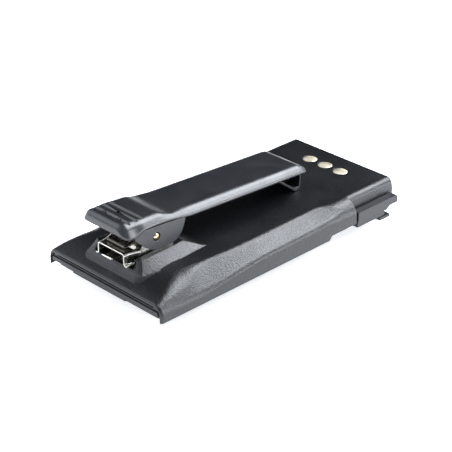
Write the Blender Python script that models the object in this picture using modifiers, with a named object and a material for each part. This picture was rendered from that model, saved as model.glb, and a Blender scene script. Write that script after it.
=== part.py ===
"""Slim rechargeable battery pack of a hand-held two-way radio, with its sprung belt clip fitted.

The pack lies on its radio side with the clip uppermost.  +Z points out of the clip face, -Y is
the thumb-pad end (the radio's top) and +Y the charge-contact end (the radio's base).  The origin
is at the middle of the pack, on the plane that it rests on.  Sizes below are in millimetres.
"""
import math

import bmesh
import bpy
from mathutils import Vector

MM = 0.001
GAP = 0.3                      # clearance between pieces that touch

# ---- driving dimensions of the pack
LENGTH = 115.7
WIDTH = 56.0
DECK_Z = 15.4                  # flat outer face
SKIRT_Z = 5.1                  # lower edge of the side walls
NEAR_Y = -LENGTH / 2
FAR_Y = LENGTH / 2
HALF_WIDTH = WIDTH / 2
WALL = 1.6

# ---- shape of the outer housing
SWOOP_Y = -39.8                # the flat face starts to fall away towards the near end
NEAR_TOP_Z = 11.1
CORNER_RADIUS = 1.2            # near corners, seen from above
LEDGE_Y = 34.5                 # from here on the housing is narrower and the side rails show
LEDGE_HALF_WIDTH = 24.7
STEP_Y = 21.3                  # the lower edge of the side walls steps up here
STEP_RISE = 1.6
RIM_GAP = 1.15                 # groove between the housing's near lip and the cover's rim
RIM_BOTTOM_Z = 7.0
TONGUE_BOTTOM_Z = 6.15
LEDGE_FLANK_X = 22.6
LEDGE_CREASE_Z = 12.4
LEDGE_ROUNDING = 4.4
LIP_ROUNDING = 0.6             # upper edges of the two ends
BELOW_EDGE = 4.0               # how far a hollow is cut past the lower edge

# Along the full-width part: y, x where the flank starts, height where it ends, its rounding.
FLANK_STATIONS = (
    (NEAR_Y, 25.6, 8.6, 12.0),
    (-52.5, 24.3, 8.3, 12.0),
    (-46.5, 22.9, 8.2, 11.0),
    (-43.0, 21.9, 8.4, 9.0),
    (-38.0, 21.0, 8.8, 5.0),
    (-33.0, 20.9, 9.1, 3.0),
    (-22.0, 21.5, 10.4, 2.8),
    (-12.0, 21.6, 11.5, 2.6),
    (0.0, 21.4, 11.8, 2.6),
    (15.0, 21.2, 12.2, 2.6),
    (22.0, 21.4, 12.6, 2.6),
    (27.0, 24.2, 12.0, 5.0),
    (LEDGE_Y, 24.4, 11.8, 5.0),
)

# Raised boss from below upwards: height and the right half of its outline.
BOSS_LEVELS = (
    (10.0, ((12.6, -56.0), (14.6, -54.6), (17.4, -45.8), (17.4, -36.8), (15.8, -22.4))),
    (15.3, ((10.7, -53.8), (13.3, -52.9), (17.3, -45.8), (17.3, -36.8), (15.7, -22.5))),
    (15.45, ((10.6, -53.6), (13.2, -52.7), (16.2, -45.8), (16.3, -36.8), (14.9, -23.7))),
    (15.65, ((10.5, -53.4), (13.0, -52.4), (15.3, -45.8), (15.4, -36.8), (14.2, -24.9))),
    (15.95, ((10.4, -53.1), (12.8, -52.1), (14.35, -45.8), (14.4, -36.8), (13.4, -26.0))),
    (18.3, ((9.3, -51.4), (10.9, -50.4), (10.7, -45.8), (10.3, -38.0), (9.8, -31.4))),
)

# ---- slot in the boss for the clip
SLOT_FLOOR_Z = DECK_Z
SLOT_END_Y = -33.5
SLOT_HALF_WIDTH = 9.6
SLOT_LIP_HALF_WIDTH = 8.5
SLOT_LIP_Z = 17.0

# ---- clip
PIN_Y = -43.2
PIN_Z = 24.2
PIN_RADIUS = 1.25
ARM_HALF_WIDTH = 10.45
SIDE_LEAN = 2.1                # the arm is this much narrower on top, on each side
PAD_FLARE = 0.4                # the thumb pad is this much wider on each side
ARM_NOSE_Y = -57.0
FOOT_HALF_WIDTH = 7.6          # foot at the arm's far end
CHEEK_INNER_X = 8.9
CHEEK_STEP = 0.12              # the cheeks stand this far inside the arm's edge
BRACKET_TOP_Z = 20.3
BRACKET_NEAR_Y = -54.0
FOOT_Z = 16.2                  # upper face of the bracket's feet
EAR_X = 7.25
EAR_THICKNESS = 0.4
LEAF_THICKNESS = 0.45
SHEET = 0.5                    # steel sheet of the bracket
WIRE_RADIUS = 0.35             # wire of the torsion spring
COIL_RADIUS = 2.2
COIL_TURNS = 4
GROOVE_WIDTH = 1.3
GROOVE_DEPTH = 0.65
GRIP_ROWS = (
    (-47.3, ((-8.2, 8.2),)),
    (-50.0, ((-8.4, -0.7), (0.7, 8.4))),
    (-53.1, ((-9.2, -4.1), (-3.1, 3.1), (4.1, 9.2))),
)

# ---- contacts and what the pack holds inside
CONTACT_Y = 48.6
CONTACT_PITCH = 7.4
CONTACT_RADIUS = 2.7
CELL_SIZE = (34.0, 43.0, 9.6)
CELL_BOTTOM_Z = 1.6
CELL_SPACE = 0.9               # between the two cells
STRIP_THICKNESS = 0.4
BAY_HALF_WIDTH = 19.0
BAY_WALL = 1.2
BAY_NEAR_Y = -46.6
BAY_FAR_Y = 43.4
BOARD_Z = 10.4
BLADE_PITCH = 9.0              # contact blades towards the radio
BLADE_NEAR_Y = 46.2
BLADE_FAR_Y = 51.2
LABEL_RECESS = 0.6


# ---------------------------------------------------------------- scene and materials

def clear_scene():
    for old in list(bpy.data.objects):
        bpy.data.objects.remove(old, do_unlink=True)


def make_collection(name):
    collection = bpy.data.collections.new(name)
    bpy.context.scene.collection.children.link(collection)
    return collection


def make_material(name, colour, roughness, metallic=0.0):
    material = bpy.data.materials.new(name)
    material.use_nodes = True
    shader = material.node_tree.nodes["Principled BSDF"]
    shader.inputs["Base Color"].default_value = (*colour, 1.0)
    shader.inputs["Roughness"].default_value = roughness
    shader.inputs["Metallic"].default_value = metallic
    material.diffuse_color = (*colour, 1.0)
    return material


def make_materials():
    return {
        "housing": make_material("housing_plastic", (0.021, 0.022, 0.025), 0.46),
        "cover": make_material("cover_plastic", (0.026, 0.027, 0.031), 0.5),
        "clip": make_material("clip_plastic", (0.033, 0.034, 0.037), 0.36),
        "bracket": make_material("nickel_plated_steel", (0.62, 0.61, 0.57), 0.18, 1.0),
        "spring": make_material("spring_steel", (0.5, 0.5, 0.49), 0.28, 1.0),
        "pin": make_material("pin_steel", (0.66, 0.65, 0.62), 0.22, 1.0),
        "gold": make_material("gold_plating", (0.86, 0.72, 0.44), 0.3, 1.0),
        "nickel": make_material("nickel_strip", (0.56, 0.55, 0.52), 0.32, 1.0),
        "cell": make_material("cell_can", (0.58, 0.59, 0.6), 0.35, 1.0),
        "foam": make_material("foam_pad", (0.05, 0.05, 0.055), 0.95),
        "board": make_material("circuit_board", (0.02, 0.14, 0.06), 0.5),
        "chip": make_material("chip_package", (0.012, 0.012, 0.013), 0.55),
        "label": make_material("blank_label", (0.6, 0.6, 0.57), 0.6),
        "red_lead": make_material("red_lead", (0.45, 0.02, 0.02), 0.45),
        "black_lead": make_material("black_lead", (0.02, 0.02, 0.02), 0.45),
    }


# ---------------------------------------------------------------- modelling helpers

def link_mesh(name, bm, material, collection):
    bmesh.ops.recalc_face_normals(bm, faces=bm.faces)
    mesh = bpy.data.meshes.new(name)
    bm.to_mesh(mesh)
    bm.free()
    mesh.materials.append(material)
    obj = bpy.data.objects.new(name, mesh)
    collection.objects.link(obj)
    return obj


def make_box(name, low, high, material, collection):
    """A box between two corners, given in millimetres."""
    bm = bmesh.new()
    bmesh.ops.create_cube(bm, size=1.0)
    for vert in bm.verts:
        for axis in range(3):
            middle = (low[axis] + high[axis]) / 2
            vert.co[axis] = (middle + vert.co[axis] * (high[axis] - low[axis])) * MM
    return link_mesh(name, bm, material, collection)


def make_rod(name, centre, radius, length, axis, material, collection, segments=32):
    """A cylinder about a centre point, along X, Y or Z."""
    bm = bmesh.new()
    bmesh.ops.create_cone(bm, cap_ends=True, segments=segments, radius1=radius * MM,
                          radius2=radius * MM, depth=length * MM)
    direction = {"X": Vector((1, 0, 0)), "Y": Vector((0, 1, 0)), "Z": Vector((0, 0, 1))}[axis]
    turn = Vector((0, 0, 1)).rotation_difference(direction).to_matrix()
    for vert in bm.verts:
        vert.co = turn @ vert.co + Vector(centre) * MM
    return link_mesh(name, bm, material, collection)


def make_loft(name, rings, material, collection):
    """A closed solid through rings of points that all have the same count."""
    bm = bmesh.new()
    loops = [[bm.verts.new(Vector(point) * MM) for point in ring] for ring in rings]
    count = len(loops[0])
    for first, second in zip(loops, loops[1:]):
        for i in range(count):
            j = (i + 1) % count
            bm.faces.new((first[i], first[j], second[j], second[i]))
    bm.faces.new(reversed(loops[0]))
    bm.faces.new(loops[-1])
    return link_mesh(name, bm, material, collection)


def make_plate(name, outline, plane, start, end, material, collection):
    """A flat outline given in the XY, XZ or YZ plane, extruded from start to end across it."""
    curve = bpy.data.curves.new(name, "CURVE")
    curve.dimensions = "2D"
    curve.fill_mode = "BOTH"
    curve.extrude = (end - start) / 2 * MM
    spline = curve.splines.new("POLY")
    spline.points.add(len(outline) - 1)
    for point, (u, v) in zip(spline.points, outline):
        point.co = (u * MM, v * MM, 0.0, 1.0)
    spline.use_cyclic_u = True
    drawing = bpy.data.objects.new(name + "_outline", curve)
    collection.objects.link(drawing)
    bpy.context.view_layer.update()
    graph = bpy.context.evaluated_depsgraph_get()
    mesh = bpy.data.meshes.new_from_object(drawing.evaluated_get(graph))
    bpy.data.objects.remove(drawing, do_unlink=True)
    bm = bmesh.new()
    bm.from_mesh(mesh)
    bmesh.ops.remove_doubles(bm, verts=bm.verts, dist=1e-6)
    across = (start + end) / 2 * MM
    for vert in bm.verts:
        u, v, w = vert.co.x, vert.co.y, vert.co.z + across
        vert.co = {"XY": (u, v, w), "XZ": (u, w, v), "YZ": (w, u, v)}[plane]
    bpy.data.meshes.remove(mesh)
    return link_mesh(name, bm, material, collection)


def apply_modifiers(obj):
    """Replaces the object's mesh with its evaluated one, so that further cuts start clean."""
    bpy.context.view_layer.update()
    evaluated = obj.evaluated_get(bpy.context.evaluated_depsgraph_get())
    old = obj.data
    obj.data = bpy.data.meshes.new_from_object(evaluated)
    obj.modifiers.clear()
    bpy.data.meshes.remove(old)


def combine(obj, others, operation, cutters):
    """Boolean with each of the others in turn; the others are kept as hidden cutters."""
    for other in others:
        other.hide_render = True
        other.display_type = "WIRE"
        for owner in list(other.users_collection):
            owner.objects.unlink(other)
        cutters.objects.link(other)
        modifier = obj.modifiers.new("bool_" + other.name, "BOOLEAN")
        modifier.operation = operation
        modifier.object = other
        apply_modifiers(obj)


def bevel_edges(obj, width, segments=2, angle=40.0):
    modifier = obj.modifiers.new("rounded_edges", "BEVEL")
    modifier.width = width * MM
    modifier.segments = segments
    modifier.limit_method = "ANGLE"
    modifier.angle_limit = math.radians(angle)
    apply_modifiers(obj)


def shade_round(obj, angle=35.0):
    obj.data.shade_smooth()
    obj.data.set_sharp_from_angle(angle=math.radians(angle))


def set_origin(obj, point):
    """Moves the object's origin to a point in millimetres without moving its shape."""
    origin = Vector(point) * MM
    for vert in obj.data.vertices:
        vert.co -= origin
    obj.location = origin


def arc(centre, radius, start, end, count):
    """Points of an arc in degrees, both ends included."""
    points = []
    for i in range(count):
        angle = math.radians(start + (end - start) * i / (count - 1))
        points.append((centre[0] + radius * math.cos(angle), centre[1] + radius * math.sin(angle)))
    return points


def round_corner(before, corner, after, radius, steps):
    """Points of the arc that rounds one corner of a polyline."""
    here = Vector(corner)
    back = Vector(before) - here
    ahead = Vector(after) - here
    half = back.angle(ahead) / 2
    reach = min(radius / math.tan(half), back.length * 0.49, ahead.length * 0.49)
    radius = reach * math.tan(half)
    centre = here + (back.normalized() + ahead.normalized()).normalized() * (radius / math.sin(half))
    first = here + back.normalized() * reach - centre
    last = here + ahead.normalized() * reach - centre
    turn = first.angle_signed(last)
    points = []
    for i in range(steps):
        angle = -turn * i / (steps - 1)
        points.append(centre + Vector((first.x * math.cos(angle) - first.y * math.sin(angle),
                                       first.x * math.sin(angle) + first.y * math.cos(angle))))
    return points


def smooth_step(value, low, high):
    share = min(max((value - low) / (high - low), 0.0), 1.0)
    return share * share * (3 - 2 * share)


# ---------------------------------------------------------------- outer housing

def deck_height(y):
    """Height of the outer face along the pack's middle line."""
    share = max(SWOOP_Y - y, 0.0) / (SWOOP_Y - NEAR_Y)
    return DECK_Z - (DECK_Z - NEAR_TOP_Z) * share ** 1.7


def follow(stations, y):
    """Values at y on smooth curves through the stations."""
    last = len(stations) - 1
    y = min(max(y, stations[0][0]), stations[last][0])
    i = max(k for k in range(last) if stations[k][0] <= y)
    here, there = stations[i], stations[i + 1]
    before, after = stations[max(i - 1, 0)], stations[min(i + 2, last)]
    run = there[0] - here[0]
    t = (y - here[0]) / run
    values = []
    for k in range(1, len(here)):
        slope = (there[k] - before[k]) / (there[0] - before[0]) * run
        slope_after = (after[k] - here[k]) / (after[0] - here[0]) * run
        values.append((2 * t ** 3 - 3 * t ** 2 + 1) * here[k] + (t ** 3 - 2 * t ** 2 + t) * slope
                      + (3 * t ** 2 - 2 * t ** 3) * there[k] + (t ** 3 - t ** 2) * slope_after)
    return values


def quarter(distance, radius):
    """How far a rounded end has fallen away at a distance from it."""
    if distance >= radius:
        return 0.0
    return radius - math.sqrt(radius ** 2 - (radius - max(distance, 0.0)) ** 2)


def half_section(y, inset, half_width, flank, crease, lower, radius, drop):
    """Cross-section from the left lower edge over the face to the right lower edge."""
    top = deck_height(y) - inset - drop
    side = half_width - inset
    flank = min(flank - inset * 0.6, side - 0.5)
    corners = [(0.0, top), (flank, top), (side, crease - inset * 0.6), (side, lower)]
    upper = round_corner(corners[0], corners[1], corners[2], radius, 5)
    under = round_corner(corners[1], corners[2], corners[3], radius, 5)
    right = [Vector(corners[0])] + upper + under + [Vector(corners[3])]
    left = [Vector((-p.x, p.y)) for p in reversed(right[1:])]
    return [(p.x, y, p.y) for p in left + right]


def wide_ring(y, inset):
    """Section of the full-width part of the housing at y."""
    flank, crease, radius = follow(FLANK_STATIONS, y - inset)
    lower = SKIRT_Z + STEP_RISE * smooth_step(y, STEP_Y - 0.8, STEP_Y + 0.8)
    from_end = y - inset - NEAR_Y
    side = HALF_WIDTH - quarter(from_end, CORNER_RADIUS)
    drop = quarter(from_end, LIP_ROUNDING)
    if inset:
        lower -= BELOW_EDGE
    return half_section(y, inset, side, flank - drop, crease, lower, radius, drop)


def narrow_ring(y, inset, ease):
    """Section of the narrower far part; ease rounds off its far end."""
    lower = SKIRT_Z + STEP_RISE - (BELOW_EDGE if inset else 0.0)
    side = LEDGE_HALF_WIDTH - ease
    flank = LEDGE_FLANK_X - ease
    crease = LEDGE_CREASE_Z - ease
    return half_section(y, inset, side, flank, crease, lower, LEDGE_ROUNDING, ease)


def housing_rings(inset):
    """Rings of the housing's outer face (inset 0) or of its hollow (inset WALL)."""
    near = NEAR_Y + inset
    wide = [near + CORNER_RADIUS * (1 - math.cos(math.radians(angle))) for angle in (0, 30, 60, 90)]
    wide += [-54.5, -52.0, -49.5, -47.0, -44.5, -42.0, SWOOP_Y]
    wide += [-36.0, -33.0, -28.0, -22.0, -12.0, 0.0, 12.0]
    wide += [STEP_Y - 0.8, STEP_Y, STEP_Y + 0.8, 23.5, 24.7, 26.0, 28.0, LEDGE_Y - inset]
    rings = [wide_ring(y, inset) for y in wide]
    rings.append(narrow_ring(LEDGE_Y - inset + 0.1, inset, 0.0))
    for angle in (0, 30, 60, 90):
        ease = LIP_ROUNDING * (1 - math.cos(math.radians(angle)))
        y = FAR_Y - inset - LIP_ROUNDING * (1 - math.sin(math.radians(angle)))
        rings.append(narrow_ring(y, inset, ease))
    return rings


def boss_height(y, level):
    """Height of a boss level at y: its flared foot follows the face as it falls away."""
    if level < 12.0 or level > 17.0:
        return level
    return level + (deck_height(y) - DECK_Z) * smooth_step(y, -52.0, -46.0)


def boss_solid(material, collection):
    """The raised pad over the near half, wider below than on top."""
    rings = []
    for level, right in BOSS_LEVELS:
        left = [(-x, y) for x, y in reversed(right)]
        rings.append([(x, y, boss_height(y, level)) for x, y in list(right) + left])
    return make_loft("boss_block", rings, material, collection)


def slot_cutters(material, cutters):
    """The T-slot for the bracket, the ramp in front of it and the pocket under its catch."""
    wide = make_box("slot_floor_cut", (-SLOT_HALF_WIDTH, -52.0, SLOT_FLOOR_Z),
                    (SLOT_HALF_WIDTH, SLOT_END_Y, SLOT_LIP_Z), material, cutters)
    narrow = make_box("slot_top_cut", (-SLOT_LIP_HALF_WIDTH, -52.5, SLOT_FLOOR_Z + 0.5),
                      (SLOT_LIP_HALF_WIDTH, SLOT_END_Y, 25.0), material, cutters)
    ramp = [(-51.6, 25.0), (-51.6, SLOT_FLOOR_Z), (-53.9, SLOT_FLOOR_Z - 0.01), (-55.9, 12.3),
            (-58.5, 11.9), (-58.5, 25.0)]
    front = make_plate("ramp_cut", ramp, "YZ", -SLOT_HALF_WIDTH, SLOT_HALF_WIDTH, material, cutters)
    pocket = make_box("catch_pocket_cut", (-3.2, -46.6, SLOT_FLOOR_Z - 0.9),
                      (3.2, -43.8, SLOT_FLOOR_Z + 0.5), material, cutters)
    return [wide, narrow, front, pocket]


def rim_outline(shrink):
    """Near-end opening, seen along the pack; shrink gives the cover's rim inside it."""
    right = [(23.6, 10.15 - shrink)] + arc((24.6 - shrink, 7.6), 2.5, 75, 5, 4)
    right += [(27.1 - shrink, 3.0)]
    return right + [(-x, z) for x, z in reversed(right)]


def make_outer_housing(materials, parts, cutters):
    housing = make_loft("outer_housing", housing_rings(0.0), materials["housing"], parts)
    combine(housing, [boss_solid(materials["housing"], cutters)], "UNION", cutters)
    hollow = make_loft("housing_hollow", housing_rings(WALL), materials["housing"], cutters)
    mouth = make_plate("rim_cut", rim_outline(0.0), "XZ", -62.0, NEAR_Y + 2.9,
                       materials["housing"], cutters)
    holes = []
    for i in (-1, 0, 1):
        holes.append(make_rod("contact_hole_%d" % (i + 2), (i * CONTACT_PITCH, CONTACT_Y, DECK_Z),
                              CONTACT_RADIUS + GAP, 8.0, "Z", materials["housing"], cutters))
    combine(housing, [hollow, mouth], "DIFFERENCE", cutters)
    combine(housing, slot_cutters(materials["housing"], cutters) + holes, "DIFFERENCE", cutters)
    shade_round(housing)
    return housing


# ---------------------------------------------------------------- inner cover

def cover_outline():
    """The cover's plate from above: it steps in where the housing gets narrower."""
    wide = HALF_WIDTH - WALL - GAP
    narrow = LEDGE_HALF_WIDTH - WALL - GAP
    near = NEAR_Y + WALL + GAP
    far = FAR_Y - WALL - GAP
    right = arc((wide - 2.5, near + 2.5), 2.5, 270, 360, 6)
    right += [(wide, LEDGE_Y - 2.0), (narrow, LEDGE_Y - 2.0)]
    right += arc((narrow - 1.0, far - 1.0), 1.0, 0, 90, 4)
    return right + [(-x, y) for x, y in reversed(right)]


def make_hook(side, materials, cutters):
    """Outward L-shaped hook that slides into the radio's base; side is 1 or -1."""
    low, high = sorted((side * 20.95, side * 22.4))
    leg = make_box("hook_leg_%d" % side, (low, 50.7, 0.5), (high, 55.6, 6.0), materials["cover"], cutters)
    low, high = sorted((side * 20.8, side * 24.2))
    foot = make_box("hook_foot_%d" % side, (low, 52.2, 0.0), (high, 57.4, 1.1), materials["cover"], cutters)
    return [leg, foot]


def make_rail(side, materials, cutters):
    """Side rail beside the narrow far part of the housing, and the web under the wall that
    joins it to the cover.  The rail's far lower edge is cut away."""
    outline = [(LEDGE_Y + 1.0, 6.4), (50.6, 6.4), (52.6, 7.6), (56.7, 7.6), (56.7, 9.6),
               (55.9, 10.5), (LEDGE_Y + 1.0, 10.5)]
    solids = []
    low, high = sorted((side * (LEDGE_HALF_WIDTH + GAP), side * HALF_WIDTH))
    solids.append(make_plate("rail_%d" % side, outline, "YZ", low, high, materials["cover"], cutters))
    low, high = sorted((side * 20.0, side * (HALF_WIDTH - 0.6)))
    solids.append(make_box("rail_web_%d" % side, (low, LEDGE_Y + 1.4, 4.4), (high, 50.3, 6.2),
                           materials["cover"], cutters))
    low, high = sorted((side * (LEDGE_HALF_WIDTH + 0.7), side * (HALF_WIDTH - 0.9)))
    solids.append(make_box("rail_riser_%d" % side, (low, LEDGE_Y + 1.8, 5.5), (high, 50.0, 8.0),
                           materials["cover"], cutters))
    return solids


def make_rim(materials, cutters):
    """Near rim that fills the housing's mouth, with the off-centre tongue that joins it on."""
    plastic = materials["cover"]
    rim = make_plate("rim_block", rim_outline(RIM_GAP), "XZ", NEAR_Y + 0.2, NEAR_Y + 2.6, plastic, cutters)
    under = make_box("rim_underside_cut", (-30.0, NEAR_Y - 1.0, 0.0), (30.0, NEAR_Y + 6.0, RIM_BOTTOM_Z),
                     plastic, cutters)
    rebate = make_box("rim_rebate_cut", (-30.0, NEAR_Y - 1.0, 8.45), (30.0, NEAR_Y + 0.7, 12.0),
                      plastic, cutters)
    combine(rim, [under, rebate], "DIFFERENCE", cutters)
    tongue = make_box("rim_tongue", (-15.5, NEAR_Y + 0.25, TONGUE_BOTTOM_Z), (10.5, NEAR_Y + 4.0, 8.0),
                      plastic, cutters)
    return [rim, tongue]


def make_inner_cover(materials, parts, cutters):
    plastic = materials["cover"]
    plate = make_plate("inner_cover", cover_outline(), "XY", SKIRT_Z, SKIRT_Z + 1.4, plastic, parts)
    bay = make_box("cell_bay", (-BAY_HALF_WIDTH, BAY_NEAR_Y, 0.0),
                   (BAY_HALF_WIDTH, BAY_FAR_Y, SKIRT_Z + 0.6), plastic, cutters)
    bevel_edges(bay, 1.2, 3)
    solids = [bay] + make_rim(materials, cutters)
    for side in (-1, 1):
        solids += make_hook(side, materials, cutters) + make_rail(side, materials, cutters)
    combine(plate, solids, "UNION", cutters)
    cavity = make_box("bay_cavity", (-BAY_HALF_WIDTH + BAY_WALL, BAY_NEAR_Y + BAY_WALL, BAY_WALL),
                      (BAY_HALF_WIDTH - BAY_WALL, BAY_FAR_Y - BAY_WALL, 20.0), plastic, cutters)
    windows = []
    for i in (-1, 0, 1):
        x = i * BLADE_PITCH
        windows.append(make_box("radio_contact_cut_%d" % (i + 2), (x - 2.3, BLADE_NEAR_Y - GAP, 3.0),
                                (x + 2.3, BLADE_FAR_Y + GAP, 9.0), plastic, cutters))
    label_recess = make_box("label_recess", (-15.3, -38.3, -1.0), (15.3, 35.3, LABEL_RECESS),
                            plastic, cutters)
    combine(plate, [cavity, label_recess] + windows, "DIFFERENCE", cutters)
    shade_round(plate)
    return plate


# ---------------------------------------------------------------- inside the pack

def make_cells(materials, parts):
    width, length, height = CELL_SIZE
    start = BAY_NEAR_Y + BAY_WALL + GAP
    for name, near in (("cell_front", start), ("cell_rear", start + length + CELL_SPACE)):
        cell = make_box(name, (-width / 2, near, CELL_BOTTOM_Z),
                        (width / 2, near + length, CELL_BOTTOM_Z + height), materials["cell"], parts)
        bevel_edges(cell, 1.5, 3)
        shade_round(cell)
    top = CELL_BOTTOM_Z + height
    for name, near in (("foam_pad_front", start + 4.0), ("foam_pad_rear", start + length + CELL_SPACE + 4.0)):
        pad = make_box(name, (-12.0, near, top + GAP), (12.0, near + 35.0, top + GAP + 1.4),
                       materials["foam"], parts)
        bevel_edges(pad, 0.3, 1)


def make_strips(materials, parts):
    """Nickel strips and insulated leads that join the two cells to the board."""
    side = CELL_SIZE[0] / 2
    near = BAY_NEAR_Y + BAY_WALL + GAP
    low = CELL_BOTTOM_Z + CELL_SIZE[2] + GAP
    high = low + STRIP_THICKNESS
    middle = near + CELL_SIZE[1] + CELL_SPACE / 2
    link = make_box("series_strip", (-16.0, middle - 5.0, low), (-12.6, middle + 5.0, high),
                    materials["nickel"], parts)
    bevel_edges(link, 0.12, 1)
    far = near + 2 * CELL_SIZE[1] + CELL_SPACE
    tab = make_box("positive_strip", (12.6, far - 6.0, low), (16.0, far + 1.6, high),
                   materials["nickel"], parts)
    bevel_edges(tab, 0.12, 1)
    for name, x, colour, length in (("negative_lead", side + 3.6, "black_lead", 88.0),
                                    ("balance_lead", -side - 3.6, "red_lead", 46.0)):
        curve = bpy.data.curves.new(name, "CURVE")
        curve.dimensions = "3D"
        curve.bevel_depth = 0.6 * MM
        curve.bevel_resolution = 2
        curve.use_fill_caps = True
        spline = curve.splines.new("POLY")
        start_y = far - length
        count = 16
        spline.points.add(count - 1)
        for i, point in enumerate(spline.points):
            share = i / (count - 1)
            y = start_y + (far + 1.2 - start_y) * share
            wave = 0.5 * math.sin(share * math.pi * 3)
            point.co = ((x + wave) * MM, y * MM, 8.2 * MM, 1.0)
        lead = bpy.data.objects.new(name, curve)
        curve.materials.append(materials[colour])
        parts.objects.link(lead)


def make_board(materials, parts):
    board = make_box("protection_board", (-21.5, 44.2, BOARD_Z), (21.5, 55.6, BOARD_Z + 1.0),
                     materials["board"], parts)
    bevel_edges(board, 0.15, 1)
    under = BOARD_Z - GAP
    for name, low, high in (("mosfet_pair", (-18.5, 46.0), (-14.0, 51.0)),
                            ("protection_controller", (14.2, 46.0), (17.4, 49.0)),
                            ("thermal_fuse", (14.0, 50.4), (19.5, 53.6)),
                            ("thermistor", (-18.6, 52.2), (-16.6, 53.4))):
        chip = make_box(name, (*low, under - 1.3), (*high, under), materials["chip"], parts)
        bevel_edges(chip, 0.15, 1)


def make_contacts(materials, parts):
    """Gold charge contacts in the outer face and the blades that meet the radio."""
    for i, name in enumerate(("charge_contact_left", "charge_contact_middle", "charge_contact_right")):
        x = (i - 1) * CONTACT_PITCH
        low = BOARD_Z + 1.0 + GAP
        face = DECK_Z - 0.15
        under = DECK_Z - 1.5
        profile = [(0.0, face), (CONTACT_RADIUS - 0.25, face), (CONTACT_RADIUS, face - 0.25),
                   (CONTACT_RADIUS, under), (1.0, under), (1.0, low), (0.0, low)]
        bm = bmesh.new()
        verts = [bm.verts.new(((x + r) * MM, CONTACT_Y * MM, z * MM)) for r, z in profile]
        edges = [bm.edges.new(pair) for pair in zip(verts, verts[1:])]
        bmesh.ops.spin(bm, geom=verts + edges, cent=(x * MM, CONTACT_Y * MM, 0), axis=(0, 0, 1),
                       angle=2 * math.pi, steps=32, use_merge=True)
        bmesh.ops.remove_doubles(bm, verts=bm.verts, dist=1e-6)
        contact = link_mesh(name, bm, materials["gold"], parts)
        shade_round(contact)
    for i, name in enumerate(("radio_contact_left", "radio_contact_middle", "radio_contact_right")):
        x = (i - 1) * BLADE_PITCH
        blade = make_box(name, (x - 2.0, BLADE_NEAR_Y, SKIRT_Z + 0.1), (x + 2.0, BLADE_FAR_Y, BOARD_Z - GAP),
                         materials["gold"], parts)
        bevel_edges(blade, 0.4, 2)
        shade_round(blade)


def make_label(materials, parts):
    make_box("blank_label", (-15.0, -38.0, 0.05), (15.0, 35.0, LABEL_RECESS - GAP),
             materials["label"], parts)


# ---------------------------------------------------------------- metal parts of the clip

def hat_profile(half_width, inset):
    """Right half of the channel's sheet, from the middle of its top to the tip of its foot."""
    bend = 1.0
    curl = 0.75
    lip = 0.6
    path = [(0.0, BRACKET_TOP_Z - inset)]
    path += arc((half_width - bend, BRACKET_TOP_Z - bend), bend - inset, 90, 0, 5)
    path += arc((half_width + curl, FOOT_Z + curl), curl + inset, 180, 262, 5)
    return path + [(half_width + curl + lip, FOOT_Z - inset)]


def channel_ring(y, half_width):
    """Closed ring round the hat-shaped sheet at y."""
    outer = hat_profile(half_width, 0.0)
    inner = hat_profile(half_width, SHEET)
    ring = [(-x, z) for x, z in reversed(outer[1:])] + outer
    ring += list(reversed(inner[1:])) + [inner[0]] + [(-x, z) for x, z in inner[1:]]
    return [(x, y, z) for x, z in ring]


def ear_outline():
    """Side view of one ear: a round eye for the pin on a broad foot."""
    eye = list(reversed(arc((PIN_Y, PIN_Z), 2.4, 30, 150, 9)))
    return [(-48.2, 18.4)] + eye + [(-39.4, 18.4)]


def make_bracket(materials, parts, cutters):
    """Hat-shaped steel channel that runs in the T-slot, with two ears that hold the pin and a
    small tab bent up out of a window in its top."""
    steel = materials["bracket"]
    near = BRACKET_NEAR_Y
    far = SLOT_END_Y - 0.5
    stations = ((near, 6.45), (near + 3.6, 6.9), (near + 5.0, 7.35), (near + 7.0, 7.7), (far, 7.7))
    bracket = make_loft("clip_bracket", [channel_ring(*station) for station in stations], steel, parts)
    additions = []
    for side in (-1, 1):
        low, high = sorted((side * EAR_X, side * (EAR_X + EAR_THICKNESS)))
        additions.append(make_plate("ear_%d" % side, ear_outline(), "YZ", low, high, steel, cutters))
    tab = [(3.6, 20.1), (6.2, 20.1), (6.3, 20.9), (5.9, 21.9), (5.3, 22.1), (4.6, 21.2)]
    additions.append(make_plate("bent_up_tab", tab, "XZ", -49.0, -48.6, steel, cutters))
    combine(bracket, additions, "UNION", cutters)
    bore = make_rod("ear_bore", (0, PIN_Y, PIN_Z), PIN_RADIUS + GAP, 30.0, "X", steel, cutters, 24)
    window = make_box("tab_window_cut", (2.9, -50.9, 19.0), (6.0, -49.0, 21.0), steel, cutters)
    combine(bracket, [bore, window], "DIFFERENCE", cutters)
    shade_round(bracket)
    return bracket


def make_latch_leaf(materials, parts, cutters):
    """Spring leaf under the channel's top, with a thumb lip in front and a catch below."""
    path = [(-55.7, 17.9), (-55.5, 17.5), (-54.9, 17.3), (-47.0, 17.0), (-41.0, 18.0), (-37.5, 18.7)]
    outline = path + [(y, z - LEAF_THICKNESS) for y, z in reversed(path)]
    outline[0] = (-55.7, 18.1)
    outline[-1] = (-56.1, 17.2)
    leaf = make_plate("clip_latch_leaf", outline, "YZ", -2.4, 2.4, materials["spring"], parts)
    catch = make_box("catch_block", (-1.6, -46.2, 15.7), (1.6, -44.4, 17.0), materials["spring"], cutters)
    combine(leaf, [catch], "UNION", cutters)
    set_origin(leaf, (0, -38.5, 18.3))
    return leaf


def make_pin(materials, parts):
    length = 2 * (ARM_HALF_WIDTH + 0.15)
    middle = (0, PIN_Y, PIN_Z)
    pin = make_rod("clip_hinge_pin", middle, PIN_RADIUS, length, "X", materials["pin"], parts)
    bevel_edges(pin, 0.25, 2)
    shade_round(pin)
    set_origin(pin, middle)
    return pin


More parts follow.
